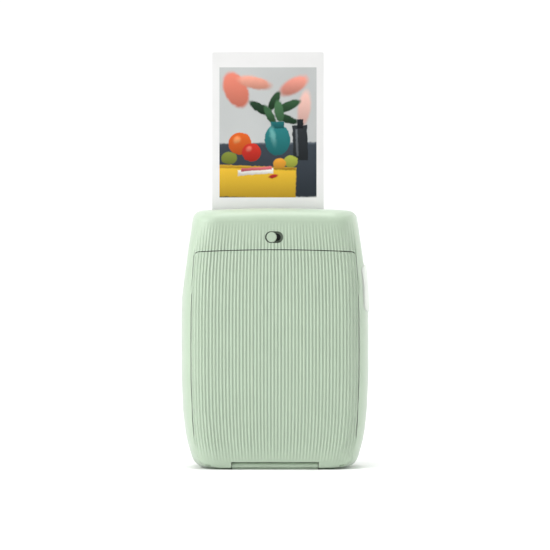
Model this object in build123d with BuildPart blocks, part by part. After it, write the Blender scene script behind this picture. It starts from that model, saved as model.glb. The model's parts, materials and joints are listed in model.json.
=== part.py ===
"""Compact photo printer for instant film, standing on its foot, film door facing -Y.

The body is a pillow-shaped shell of two halves. The ribbed film door hinges at the foot and is
held by a slide latch at the top. Inside, a film cassette lies in a chamber. A claw and a pair of
geared rollers drive each sheet past the exposure head and out of the slot in the top.

The origin is at the middle of the foot, on the surface that the printer stands on.
All sizes are in millimetres.
"""
from math import cos, pi, radians, sin, sqrt, tan
import os

from build123d import *

os.makedirs("parts", exist_ok=True)

# ------------------------------------------------------------------ driving sizes

# The instant film: a standard sheet
sheet_width = 54.0
sheet_length = 86.0
sheet_thickness = 0.3
picture_width = 46.0
picture_length = 62.0
picture_top_border = 7.0
picture_inlay = 0.08

# The film cassette
cassette_side_room = 3.5
cassette_end_room = 3.0
cassette_depth = 9.6
cassette_wall = 1.0
cassette_corner = 2.5
cassette_sheets = 9
sheet_pitch = 0.5
pad_thickness = 0.8
pad_inset = 2.0
pad_end_inset = 4.0
pad_gap = 0.05
stack_gap = 0.2
sheet_corner = 0.8

# Room round the cassette, which makes the size of the body
gear_bay = 18.1
plain_bay = 11.3
foot_bay = 9.0
head_bay = 24.4
door_bay = 4.2
works_bay = 23.2

# The shell
wall = 1.8
wall_root = 0.6
seam_behind_cassette = 9.2
seam_gap = 0.1
corner_radius = 12.5
roof_round = 7.0
roof_corner = 3.5
roof_arch_radius = 600.0
slot_side_room = 1.2
slot_height = 1.8

# The film door
door_half_width = 40.15
door_side_draw = 1.6
door_foot_draw = 6.8
door_knee_height = 13.5
door_bend_draw = 3.3
door_bend_height = 6.1
door_gap = 0.3
door_top_above_cassette = 4.2
door_arch = 1.1
door_corner = 2.5
door_bottom = 0.9
door_limit_inside = 7.3
door_clear_inside = 7.8
liner_thickness = 0.6
liner_width = 56.0
liner_end_room = 4.0
liner_gap = 0.4
liner_corner = 3.0
liner_pad_width = 44.0
liner_pad_height = 8.0
liner_pad_inset = 5.0
spring_foot = 1.5
spring_width = 7.0
spring_thickness = 0.3
spring_span = 24.0
spring_spread = 26.0

# The hinge
hinge_height = 2.0
hinge_inside = 4.1
knuckle_radius = 1.35
knuckle_width = 41.0
ear_width = 6.2
ear_swing = 2.05
ear_swing_room = 1.5
pin_radius = 0.6

# The latch
latch_height_below_top = 14.1
latch_recess_width = 8.67
latch_recess_height = 5.58
latch_recess_depth = 1.35
latch_recess_shift = -0.43
latch_knob_radius = 2.45
latch_knob_shift = -1.6
latch_travel = 2.6
latch_stem_radius = 1.4
latch_screw_radius = 0.6
latch_floor = 0.8
slider_thickness = 1.0
slider_width = 17.0
slider_height = 7.6
rail_width = 1.1
rail_lip = 0.8
rail_gap = 0.2
rail_overlap = 1.5
recess_floor_room = 1.0
latch_knob_lift = 0.15
latch_knob_round = 0.35
latch_screw_head_radius = 1.1
latch_screw_head_height = 0.6
latch_screw_depth = 1.0
hook_width = 2.6
hook_reach = 3.4
hook_bite = 2.2
toe_web = 1.8
toe_root = 1.0
toe_below_hook = 0.2
toe_below_door_top = 0.8

# The side button
button_length = 22.7
button_width = 7.0
button_height = 86.8
button_inside = 8.7
button_proud = 0.5
button_travel = 0.5
button_flange = 1.2
button_flange_reach = 1.0
button_flange_inside = 6.5
switch_size = 6.0
switch_depth = 2.45
switch_gap = 0.25
side_board_length = 16.0
side_board_thickness = 1.0
side_board_post_radius = 1.5
plunger_radius = 1.2

# The film chamber
chamber_wall = 1.5
chamber_fit = 0.3
flange_thickness = 1.2
flange_room = 0.4
flange_inside = 1.9
flange_below = 3.5
button_notch_room = 2.0
cheek_depth = 5.5
cheek_above_rollers = 4.0
guide_thickness = 1.7
guide_gap = 0.35
chute_room = 0.6

# The rollers and the gears
module = 0.5
pair_teeth = 13
roller_gear_teeth = 15
wheel_teeth = 30
small_pinion_teeth = 12
motor_pinion_teeth = 10
gear_face = 2.0
gear_step = 2.5
shaft_radius = 1.0
running_clearance = 0.04
roller_clearance = 0.05
roller_length = 52.0
roller_above_cassette = 16.3
print_held = 1.6
bearing_flange = 0.6
shaft_overhang = 0.8
shaft_end = 0.2
bearing_radius = 2.0
bearing_flange_radius = 2.7
plate_thickness = 0.8

# The claw that picks the top sheet
claw_shift = 24.0
claw_width = 4.0
claw_travel = 20.0
claw_length = 28.0
claw_thickness = 0.8
claw_below_sheet = 1.0
claw_side_play = 0.3
claw_end_play = 0.4
claw_tip_gap = 0.15
claw_slide_gap = 0.2
claw_rail_width = 0.8
claw_rail_lip = 1.1
claw_rail_floor = 1.2
claw_rail_depth = 1.9

# The exposure head and its lens bar
head_above_cassette = 2.2
head_height = 6.6
head_depth = 6.5
head_gap = 1.25
lens_length = 50.0
lens_height = 2.2
lens_depth = 1.85
lens_gap = 0.65
lens_pocket_room = 0.2
lens_round = 0.5

# The motor
motor_radius = 6.0
motor_length = 20.0
motor_shaft_radius = 0.75
motor_shaft_inside = 6.0
motor_round = 0.8
motor_boss_radius = 2.5
motor_boss_height = 1.0

# The electrics
battery_size = (46.0, 5.5, 50.0)
battery_side_room = 1.2
battery_foot_room = 8.0
battery_corner = 2.0
board_size = (62.0, 1.2, 70.0)
board_corner = 2.0
board_behind_seam = 7.0
board_post_radius = 2.2
board_screw_inset = 3.2
board_screw_radius = 0.8
board_screw_head_radius = 1.5
board_screw_head_height = 0.8
board_screw_depth = 1.8
usb_screw_shift = (3.0, 14.0)
board_side_room = 8.0
board_foot_room = 5.0
usb_overhang = 4.7
usb_width = 8.94
usb_height = 3.26
usb_depth = 7.3
usb_shell = 0.3
usb_tongue = (0.7, 6.6)
usb_tongue_inset = 0.8
usb_above_foot = 22.0

# Fasteners
screw_radius = 0.9
screw_head_radius = 1.5
screw_head_height = 1.0
screw_head_sink = 0.7
plate_screw_radius = 0.7
plate_screw_in = 0.5
plate_screw_below = 6.8
plate_screw_edge = 1.9
plate_screw_above = 4.0
plate_screw_head_radius = 1.2
plate_screw_head_height = 0.5
boss_radius = 2.2
general_gap = 0.3

# ------------------------------------------------------------------ worked-out places

cassette_width = sheet_width + 2 * cassette_side_room
cassette_length = sheet_length + 2 * cassette_end_room
body_width = cassette_width + gear_bay + plain_bay
body_depth = door_bay + cassette_depth + works_bay
body_height = foot_bay + cassette_length + head_bay

film_x = (plain_bay - gear_bay) / 2
door_face_y = -body_depth / 2
cassette_back_y = door_face_y + door_bay
cassette_front_y = cassette_back_y + cassette_depth
cassette_bottom = foot_bay
cassette_top = foot_bay + cassette_length
film_y = cassette_front_y - cassette_wall - sheet_thickness
seam_y = cassette_front_y + seam_behind_cassette

roller_spacing = module * pair_teeth
roller_radius = (roller_spacing - sheet_thickness) / 2 - roller_clearance
roller_z = cassette_top + roller_above_cassette
drive_y = film_y + roller_spacing / 2
pinch_y = film_y - roller_spacing / 2

chamber_half_width = cassette_width / 2 + chamber_fit
chamber_outer_half = chamber_half_width + chamber_wall
chamber_right_x = film_x + chamber_outer_half
chamber_left_x = film_x - chamber_outer_half
chamber_back_y = cassette_front_y + chamber_fit + chamber_wall
flange_y = cassette_back_y + flange_inside

hinge_y = door_face_y + hinge_inside
door_top = cassette_top + door_top_above_cassette
latch_z = body_height - latch_height_below_top
print_bottom = roller_z - print_held

# ------------------------------------------------------------------ the form of the body

# Stations up the body: share of the height, of the width and of the depth
body_stations = (
    (0.0, 0.762, 0.800),
    (0.013, 0.835, 0.875),
    (0.035, 0.882, 0.918),
    (0.07, 0.913, 0.940),
    (0.13, 0.953, 0.960),
    (0.24, 0.986, 0.985),
    (0.40, 1.0, 1.0),
    (0.56, 1.0, 1.0),
    (0.70, 0.989, 0.990),
    (0.80, 0.963, 0.975),
    (0.90, 0.918, 0.958),
    (1.02, 0.847, 0.935),
)


def share_at(height, column):
    """Width or depth share of the form at a height, straight between its stations."""
    place = height / body_height
    for low, high in zip(body_stations, body_stations[1:]):
        if place <= high[0]:
            part = (place - low[0]) / (high[0] - low[0])
            return low[column] + part * (high[column] - low[column])
    return body_stations[-1][column]


def half_width(height):
    return body_width / 2 * share_at(height, 1)


def half_depth(height):
    return body_depth / 2 * share_at(height, 2)


def face_depth(x, height, inset=0.0):
    """Distance from the middle plane to the body's face, at a place across and a height."""
    straight = half_width(height) - corner_radius
    across = max(abs(x) - straight, 0)
    bend = corner_radius - inset
    return half_depth(height) - corner_radius + sqrt(max(bend**2 - across**2, 0))


def body_form(inset):
    """A solid through the stations, its sides drawn in by the inset."""
    sections = []
    for height_share, width_share, depth_share in body_stations:
        with BuildSketch(Plane.XY.offset(body_height * height_share)) as section:
            RectangleRounded(body_width * width_share - 2 * inset,
                             body_depth * depth_share - 2 * inset, corner_radius - inset)
        sections.append(section.sketch)
    with BuildPart() as form:
        loft(sections, ruled=True)
    return form.part


def roof_height(x, inset):
    return body_height - inset - x * x / (2 * roof_arch_radius)


def rounded_roof(inset):
    """Outline of the roof seen from the side: level on top, rounded front and back."""
    edge = half_depth(body_height - roof_round) - inset
    bend = roof_round - inset
    top = body_height - inset
    flare = 4.0
    low = body_height / 2
    with BuildSketch(Plane.YZ.offset(-body_width)) as outline:
        with BuildLine():
            Polyline((-edge, top - bend), (-edge - flare, low), (-edge - flare, -flare),
                     (edge + flare, -flare), (edge + flare, low), (edge, top - bend))
            RadiusArc((edge, top - bend), (edge - bend, top), -bend)
            Line((edge - bend, top), (-edge + bend, top))
            RadiusArc((-edge + bend, top), (-edge, top - bend), -bend)
        make_face()
    return outline.sketch


def arched_roof(inset):
    """Outline of the roof seen from the door side: a shallow arch with rounded ends."""
    corner = roof_corner
    edge = half_width(body_height - corner) - inset
    arch_end = edge - corner
    end_top = roof_height(arch_end, inset)
    flare = 8.0
    low = body_height / 2
    with BuildSketch(Plane.XZ.offset(-body_depth)) as outline:
        with BuildLine():
            ThreePointArc((-arch_end, end_top), (0, roof_height(0, inset)), (arch_end, end_top))
            RadiusArc((arch_end, end_top), (edge, end_top - corner), corner)
            Polyline((edge, end_top - corner), (edge + flare, low), (edge + flare, -flare),
                     (-edge - flare, -flare), (-edge - flare, low), (-edge, end_top - corner))
            RadiusArc((-edge, end_top - corner), (-arch_end, end_top), corner)
        make_face()
    return outline.sketch


def body_space(inset, floor):
    """The body's form drawn in by an inset all round, from a floor up to its roof."""
    with BuildPart() as space:
        add(body_form(inset))
        extrude(rounded_roof(inset), amount=2 * body_width, mode=Mode.INTERSECT)
        extrude(arched_roof(inset), amount=2 * body_depth, mode=Mode.INTERSECT)
        if floor > 0:
            split(bisect_by=Plane.XY.offset(floor), keep=Keep.TOP)
    return space.part


# ------------------------------------------------------------------ the shell


def plain_shell():
    """The outer wall of the printer before it is parted."""
    with BuildPart() as skin:
        add(body_space(0.0, 0.0))
        add(body_space(wall, wall), mode=Mode.SUBTRACT)
    return skin.part


def door_side_shell(skin):
    """The half of the shell on the door side of the seam."""
    with BuildPart() as half:
        add(skin)
        split(bisect_by=Plane.XZ.offset(-seam_y + seam_gap / 2), keep=Keep.TOP)
    return half.part


def front_side_shell(skin):
    with BuildPart() as half:
        add(skin)
        split(bisect_by=Plane.XZ.offset(-seam_y - seam_gap / 2), keep=Keep.BOTTOM)
    return half.part


whole_shell = plain_shell()
rear_shell = door_side_shell(whole_shell)
front_shell = front_side_shell(whole_shell)

# ------------------------------------------------------------------ the door's outline


def door_outline(grow, inside):
    """The door's outline, grown by a gap, on a plane some way inside the door's face."""
    top = door_top + grow
    bottom = door_bottom - grow
    widest = door_half_width + grow
    with BuildSketch(Plane.XZ.offset(body_depth / 2 - inside)) as outline:
        with BuildLine():
            for side in (1, -1):
                foot = (side * (widest - door_foot_draw), bottom)
                knee = (side * (widest - door_side_draw), door_knee_height)
                corner = (side * (widest - door_side_draw), top - door_arch)
                bend = (side * (widest - door_bend_draw), door_bend_height)
                ThreePointArc(foot, bend, knee)
                ThreePointArc(knee, (side * widest, (knee[1] + corner[1]) / 2), corner)
            ThreePointArc(corner, (0, top), (-corner[0], corner[1]))
            Line(foot, (-foot[0], bottom))
        make_face()
        fillet(outline.vertices().group_by(Axis.Y)[-1], door_corner + grow)
    return outline.sketch


def cut_with_door(grow, inside, mode):
    """Cut or keep what lies behind the door's outline, from outside in to a depth."""
    outward = (0, -1, 0)
    extrude(door_outline(grow, inside), amount=inside + body_depth / 4, dir=outward, mode=mode)


# ------------------------------------------------------------------ small helpers


def block(low, high, mode=Mode.ADD):
    """A box between two opposite corners."""
    size = [b - a for a, b in zip(low, high)]
    middle = tuple((a + b) / 2 for a, b in zip(low, high))
    with Locations(middle):
        Box(*size, mode=mode)


def rod_x(start, end, y, z, radius, mode=Mode.ADD):
    with Locations(Location(((start + end) / 2, y, z), (0, 90, 0))):
        Cylinder(radius, end - start, mode=mode)


def rod_y(x, start, end, z, radius, mode=Mode.ADD):
    with Locations(Location((x, (start + end) / 2, z), (90, 0, 0))):
        Cylinder(radius, end - start, mode=mode)


# ------------------------------------------------------------------ film door, liner and springs

liner_front_y = cassette_back_y - liner_gap
liner_back_y = liner_front_y - liner_thickness
liner_bottom = cassette_bottom + liner_end_room
liner_top = cassette_top - liner_end_room

# Places of the latch, from its knob inward
latch_face_y = -half_depth(latch_z)
recess_floor_y = latch_face_y + latch_recess_depth
slider_face_y = recess_floor_y + latch_floor + general_gap
slider_back_y = slider_face_y + slider_thickness
toe_face_y = slider_back_y + general_gap
toe_back_y = flange_y - rail_gap
slider_bottom = latch_z - slider_height / 2
slider_top = latch_z + slider_height / 2
hook_left = latch_knob_shift - hook_width / 2 - general_gap
hook_right = hook_left + hook_width
hook_bottom = door_top - hook_reach
toe_right = hook_left + hook_bite
toe_left = hook_left - toe_root
toe_bottom = hook_bottom - toe_below_hook
toe_top = door_top - toe_below_door_top


def liner_pads():
    """Pads on the door's inner face that carry the flat liner."""
    half = liner_pad_width / 2
    tall = liner_pad_height / 2
    for height in (liner_bottom + liner_pad_inset, (liner_bottom + liner_top) / 2,
                   liner_top - liner_pad_inset):
        in_wall_y = -half_depth(height) + wall - wall_root
        block((film_x - half, in_wall_y, height - tall),
              (film_x + half, liner_back_y, height + tall))


def door_toe():
    """The toe behind which the latch hook grips."""
    in_wall_y = -half_depth(toe_top) + wall - wall_root
    block((toe_left - toe_web, in_wall_y, toe_bottom), (toe_left, toe_back_y, toe_top))
    block((toe_left, toe_face_y, toe_bottom), (toe_right, toe_back_y, toe_top))


notch = knuckle_width / 2 + door_gap
notch_top = hinge_height + knuckle_radius + door_gap
pin_bore = pin_radius + running_clearance

with BuildPart() as door_fittings:
    for side in (-1, 1):
        ends = sorted((side * notch, side * (notch + ear_width)))
        rod_x(ends[0], ends[1], hinge_y, hinge_height, knuckle_radius)
    liner_pads()
    door_toe()

with BuildPart() as film_door:
    add(rear_shell)
    cut_with_door(0.0, door_limit_inside, Mode.INTERSECT)
    block((-notch, -body_depth, -1), (notch, 0, notch_top), Mode.SUBTRACT)
    add(door_fittings.part)
    rod_x(-body_width / 2, body_width / 2, hinge_y, hinge_height, pin_bore, Mode.SUBTRACT)
film_door.part.label = "film_door"
export_step(film_door.part, "parts/film_door.step")

with BuildPart() as door_liner:
    left = film_x - liner_width / 2
    right = film_x + liner_width / 2
    block((left, liner_back_y, liner_bottom), (right, liner_front_y, liner_top))
    fillet(door_liner.edges().filter_by(Axis.Y), liner_corner)
door_liner.part.label = "door_liner"
export_step(door_liner.part, "parts/door_liner.step")

spring_middle = (cassette_bottom + cassette_top) / 2
stack_back_y = film_y - sheet_thickness / 2 - cassette_sheets * sheet_pitch
pad_back_y = stack_back_y - pad_thickness - pad_gap
spring_peak_y = pad_back_y - general_gap


def bowed_strip(x):
    """A leaf spring bowed from the liner toward the cassette."""
    half = spring_span / 2
    with BuildSketch(Plane.YZ.offset(x - spring_width / 2)) as strip:
        with BuildLine():
            low = spring_middle - half
            high = spring_middle + half
            face = liner_front_y
            ThreePointArc((face, low), (spring_peak_y, spring_middle), (face, high))
            Line((face, high), (face, high - spring_foot))
            ThreePointArc((face, high - spring_foot),
                          (spring_peak_y - spring_thickness, spring_middle),
                          (face, low + spring_foot))
            Line((face, low + spring_foot), (face, low))
        make_face()
    extrude(strip.sketch, amount=spring_width)


with BuildPart() as pack_springs:
    for side in (-1, 1):
        bowed_strip(film_x + side * spring_spread / 2)
pack_springs.part.label = "pack_springs"
export_step(pack_springs.part, "parts/pack_springs.step")

with BuildPart() as hinge_pin:
    reach = knuckle_width / 2 + door_gap + ear_width
    rod_x(-reach, reach, hinge_y, hinge_height, pin_radius)
hinge_pin.part.label = "hinge_pin"
export_step(hinge_pin.part, "parts/hinge_pin.step")

# ------------------------------------------------------------------ rear casing

boss_x = chamber_outer_half - film_x + 0.1 + boss_radius
screw_places = (
    (-boss_x, cassette_bottom + 26),
    (-boss_x, cassette_top - 17),
    (boss_x, cassette_bottom + 26),
    (boss_x, cassette_top - 34),
)
button_y = door_face_y + button_inside
button_flange_x = half_width(button_height) - button_flange_inside


def body_bosses(start, end):
    """Screw bosses beside the chamber, each with a rib to the side wall."""
    for x, z in screw_places:
        side = 1 if x > 0 else -1
        in_wall_x = side * (half_width(z) - wall + 0.2)
        rod_y(x, start, end, z, boss_radius)
        ends = sorted((x + side, in_wall_x))
        block((ends[0], start, z - 1), (ends[1], end, z + 1))


def latch_rails():
    """Two rails with lips, which hold the latch slider against the wall."""
    reach = slider_width / 2 + rail_overlap
    in_wall_y = -half_depth(slider_top) + wall - wall_root
    lip_face_y = slider_back_y + rail_gap
    lip_back_y = toe_back_y
    for edge, side in ((slider_bottom, -1), (slider_top, 1)):
        far = edge + side * (rail_gap + rail_width)
        heights = sorted((edge + side * rail_gap, far))
        block((-reach, in_wall_y, heights[0]), (reach, lip_back_y, heights[1]))
        heights = sorted((edge - side * rail_lip, far))
        block((-reach, lip_face_y, heights[0]), (reach, lip_back_y, heights[1]))
    arm_left = hook_left - general_gap
    arm_right = hook_right + latch_travel + general_gap
    low = slider_bottom - rail_width - rail_gap
    behind_wall_y = slider_face_y - rail_gap
    block((arm_left, behind_wall_y, low), (arm_right, lip_back_y, slider_bottom), Mode.SUBTRACT)


def latch_floor_plate():
    """The thickened floor under the knob's recess."""
    room = 2 * recess_floor_room
    with Locations((latch_recess_shift, recess_floor_y + latch_floor / 2, latch_z)):
        Box(latch_recess_width + room, latch_floor, latch_recess_height + room)


def latch_recess():
    """The stadium recess for the knob, and the slot for the knob's stem."""
    with BuildSketch(Plane.XZ.offset(-recess_floor_y)) as pocket:
        with Locations((latch_recess_shift, latch_z)):
            SlotOverall(latch_recess_width, latch_recess_height)
    extrude(pocket.sketch, amount=body_depth / 4)
    stem_room = 2 * (latch_stem_radius + general_gap)
    with BuildSketch(Plane.XZ.offset(-recess_floor_y)) as stem_slot:
        with Locations((latch_knob_shift + latch_travel / 2, latch_z)):
            SlotOverall(stem_room + latch_travel, stem_room)
    extrude(stem_slot.sketch, amount=-latch_floor - 0.1)


def side_slot(length, width, start_x, depth, y, z, mode):
    """A stadium across the side wall, long side upright."""
    with BuildSketch(Plane.YZ.offset(start_x)) as stadium:
        with Locations((y, z)):
            SlotOverall(length, width, rotation=90)
    extrude(stadium.sketch, amount=depth, mode=mode)


hole_gap = 0.2
plate_edge_y = door_face_y + door_clear_inside
switch_right = button_flange_x - button_flange - button_travel - switch_gap
switch_left = switch_right - switch_depth
side_board_left = switch_left - side_board_thickness
print_slot_half = sheet_width / 2 + slot_side_room

with BuildPart() as rear_fittings:
    rod_x(-knuckle_width / 2, knuckle_width / 2, hinge_y, hinge_height, knuckle_radius)
    block((-knuckle_width / 2, hinge_y, 0), (knuckle_width / 2, plate_edge_y + 0.5, wall))
    latch_rails()
    latch_floor_plate()
    body_bosses(flange_y + flange_thickness, seam_y - seam_gap / 2)

with BuildPart() as rear_cuts:
    rod_x(-knuckle_width, knuckle_width, hinge_y, hinge_height, pin_radius)
    for side in (-1, 1):
        ends = sorted((side * knuckle_width / 2, side * (notch + ear_width + ear_swing_room)))
        rod_x(ends[0], ends[1], hinge_y, hinge_height, ear_swing)
    latch_recess()
    block((film_x - print_slot_half, film_y - slot_height / 2, roller_z + 2),
          (film_x + print_slot_half, film_y + slot_height / 2, body_height + 1))
    for x, z in screw_places:
        rod_y(x, flange_y, seam_y, z, screw_radius + running_clearance)
    side_slot(button_length + 2 * hole_gap, button_width + 2 * hole_gap, button_flange_x + 1,
              body_width / 4, button_y, button_height, Mode.ADD)

with BuildPart() as rear_casing:
    add(rear_shell)
    cut_with_door(door_gap, door_clear_inside, Mode.SUBTRACT)
    add(rear_fittings.part)
    add(rear_cuts.part, mode=Mode.SUBTRACT)
rear_casing.part.label = "rear_casing"
export_step(rear_casing.part, "parts/rear_casing.step")

# ------------------------------------------------------------------ front casing

board_back_y = seam_y + board_behind_seam
board_front_y = board_back_y + board_size[1]
board_left = -half_width(usb_above_foot) + board_side_room
board_right = board_left + board_size[0]
board_bottom = cassette_bottom + board_foot_room
board_top = board_bottom + board_size[2]
board_screws_at = [
    (board_left + board_screw_inset + usb_screw_shift[0],
     board_bottom + board_screw_inset + usb_screw_shift[1]),
    (board_right - board_screw_inset, board_bottom + board_screw_inset),
    (board_left + board_screw_inset, board_top - board_screw_inset),
    (board_right - board_screw_inset, board_top - board_screw_inset),
]
usb_y = board_back_y - usb_height / 2
front_boss_end_y = board_back_y - 0.8

with BuildPart() as front_fittings:
    body_bosses(seam_y + seam_gap / 2, front_boss_end_y)
    for x, z in board_screws_at:
        in_wall_y = face_depth(x, z, wall) + wall_root
        rod_y(x, board_front_y, in_wall_y, z, board_post_radius)

with BuildPart() as front_cuts:
    for x, z in screw_places:
        rod_y(x, seam_y - 1, front_boss_end_y - 1, z, screw_radius)
    for x, z in board_screws_at:
        rod_y(x, board_front_y - 1, board_front_y + board_screw_depth, z, board_screw_radius)
    side_slot(usb_width + 2 * hole_gap, usb_height + 2 * hole_gap, -body_width,
              body_width / 2 + 8, usb_y, usb_above_foot, Mode.ADD)

with BuildPart() as front_casing:
    add(front_shell)
    add(front_fittings.part)
    add(front_cuts.part, mode=Mode.SUBTRACT)
front_casing.part.label = "front_casing"
export_step(front_casing.part, "parts/front_casing.step")

# ------------------------------------------------------------------ latch

with BuildPart() as latch_knob:
    rod_y(latch_knob_shift, latch_face_y, recess_floor_y - latch_knob_lift, latch_z,
          latch_knob_radius)
    fillet(latch_knob.faces().sort_by(Axis.Y)[0].edges(), latch_knob_round)
    rod_y(latch_knob_shift, recess_floor_y - 2 * latch_knob_lift, slider_face_y, latch_z,
          latch_stem_radius)
    rod_y(latch_knob_shift, slider_face_y - latch_screw_depth - latch_knob_lift, slider_face_y,
          latch_z, latch_screw_radius, Mode.SUBTRACT)
latch_knob.part.label = "latch_knob"
export_step(latch_knob.part, "parts/latch_knob.step")

with BuildPart() as latch_slider:
    half = slider_width / 2
    block((-half, slider_face_y, slider_bottom), (half - latch_travel, slider_back_y, slider_top))
    block((hook_left, slider_face_y, hook_bottom), (hook_right, slider_back_y, slider_bottom + 1))
    rod_y(latch_knob_shift, slider_face_y, slider_back_y, latch_z, latch_screw_radius,
          Mode.SUBTRACT)
latch_slider.part.label = "latch_slider"
export_step(latch_slider.part, "parts/latch_slider.step")

with BuildPart() as latch_screw:
    rod_y(latch_knob_shift, slider_face_y - latch_screw_depth, slider_back_y, latch_z,
          latch_screw_radius)
    rod_y(latch_knob_shift, slider_back_y, slider_back_y + latch_screw_head_height, latch_z,
          latch_screw_head_radius)
latch_screw.part.label = "latch_screw"
export_step(latch_screw.part, "parts/latch_screw.step")

# ------------------------------------------------------------------ side button and its switch


with BuildPart() as side_button:
    side_slot(button_length, button_width, button_flange_x, body_width / 4,
              button_y, button_height, Mode.ADD)
    add(body_form(-button_proud), mode=Mode.INTERSECT)
    side_slot(button_length + 2 * button_flange_reach, button_width + button_flange_reach,
              button_flange_x - button_flange, button_flange, button_y, button_height, Mode.ADD)
side_button.part.label = "side_button"
export_step(side_button.part, "parts/side_button.step")

with BuildPart() as switch_plunger:
    rod_x(switch_left + switch_depth / 2, button_flange_x - button_flange, button_y, button_height,
          plunger_radius)
switch_plunger.part.label = "switch_plunger"
export_step(switch_plunger.part, "parts/switch_plunger.step")

with BuildPart() as side_switch:
    half = switch_size / 2
    block((switch_left, button_y - half, button_height - half),
          (switch_right, button_y + half, button_height + half))
    rod_x(switch_left + switch_gap, switch_right, button_y, button_height,
          plunger_radius + running_clearance, Mode.SUBTRACT)
side_switch.part.label = "side_switch"
export_step(side_switch.part, "parts/side_switch.step")

with BuildPart() as side_board:
    half = switch_size / 2
    tall = side_board_length / 2
    block((side_board_left, button_y - half, button_height - tall),
          (switch_left, button_y + half, button_height + tall))
side_board.part.label = "side_board"
export_step(side_board.part, "parts/side_board.step")

# ------------------------------------------------------------------ film chamber

cheek_back_y = drive_y + cheek_depth
cheek_top = roller_z + cheek_above_rollers
head_bottom = cassette_top + head_above_cassette
head_top = head_bottom + head_height
claw_x = film_x - claw_shift
claw_bottom = cassette_bottom + cassette_end_room - claw_below_sheet
claw_strip_top = claw_bottom + claw_length
claw_window_low = claw_bottom - claw_end_play
claw_window_high = claw_bottom + claw_thickness + claw_travel + claw_end_play
head_seat_y = flange_y + screw_head_sink
plate_screws_at = (
    (pinch_y + plate_screw_in, roller_z - plate_screw_below),
    (cheek_back_y - plate_screw_edge, cassette_top + plate_screw_above),
)


def claw_rails():
    """Two L-shaped rails behind the chamber that guide the claw's strip."""
    top = claw_strip_top + claw_travel
    back_y = chamber_back_y + claw_rail_depth
    for side in (-1, 1):
        near = claw_x + side * (claw_width / 2 + claw_side_play)
        far = near + side * claw_rail_width
        lip = near - side * claw_rail_lip
        xs = sorted((near, far))
        block((xs[0], chamber_back_y, cassette_bottom), (xs[1], back_y, top))
        xs = sorted((lip, far))
        block((xs[0], chamber_back_y + claw_rail_floor, cassette_bottom), (xs[1], back_y, top))


with BuildPart() as film_chamber:
    extrude(door_outline(-flange_room, flange_y + flange_thickness - door_face_y),
            amount=flange_thickness, dir=(0, -1, 0))
    flange_bottom = cassette_bottom - flange_below
    block((-body_width, door_face_y, -1), (body_width, 0, flange_bottom), Mode.SUBTRACT)
    add(body_space(wall + general_gap, wall + general_gap), mode=Mode.INTERSECT)
    notch_half = button_length / 2 + button_notch_room
    block((chamber_right_x, door_face_y, button_height - notch_half),
          (body_width, 0, button_height + notch_half), Mode.SUBTRACT)
    low = cassette_bottom - chamber_fit
    high = cassette_top + chamber_fit
    block((chamber_left_x, flange_y, low - chamber_wall),
          (chamber_right_x, chamber_back_y, high + chamber_wall))
    block((chamber_left_x, flange_y, high), (chamber_right_x, cheek_back_y, cheek_top))
    inner_left = film_x - chamber_half_width
    inner_right = film_x + chamber_half_width
    block((inner_left, door_face_y, low), (inner_right, cassette_front_y + chamber_fit, high),
          Mode.SUBTRACT)
    block((inner_left, door_face_y, high + chamber_wall), (inner_right, body_depth, body_height),
          Mode.SUBTRACT)
    block((inner_left, chamber_back_y, high - 1), (inner_right, body_depth, body_height),
          Mode.SUBTRACT)
    slot_half = sheet_width / 2 + chute_room
    block((film_x - slot_half, film_y - chute_room, high - 1),
          (film_x + slot_half, film_y + chute_room, high + chamber_wall + 1), Mode.SUBTRACT)
    guide_face_y = film_y - sheet_thickness / 2 - guide_gap
    block((inner_left, guide_face_y - guide_thickness, head_bottom),
          (inner_right, guide_face_y, head_top))
    for y in (drive_y, pinch_y):
        rod_x(-body_width, body_width, y, roller_z, bearing_radius, Mode.SUBTRACT)
    half = claw_width / 2 + claw_side_play
    block((claw_x - half, cassette_front_y, claw_window_low),
          (claw_x + half, chamber_back_y, claw_window_high), Mode.SUBTRACT)
    claw_rails()
    for x, z in screw_places:
        rod_y(x, flange_y, flange_y + flange_thickness, z, screw_radius + 0.1, Mode.SUBTRACT)
        rod_y(x, flange_y - 1, head_seat_y, z, screw_head_radius + 0.1, Mode.SUBTRACT)
    for place in plate_screws_at:
        rod_x(inner_right, chamber_right_x, *place, plate_screw_radius, Mode.SUBTRACT)
    for side in (-1, 1):
        z = button_height + side * (side_board_length / 2 - side_board_post_radius)
        rod_x(inner_right + chamber_wall / 2, side_board_left, button_y, z, side_board_post_radius)
film_chamber.part.label = "film_chamber"
export_step(film_chamber.part, "parts/film_chamber.step")

# ------------------------------------------------------------------ film cassette and film

picture_middle_in_cassette = (
    cassette_top - cassette_end_room - picture_top_border - picture_length / 2
)
sheet_low = cassette_bottom + cassette_end_room
window_room = 0.4

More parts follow.
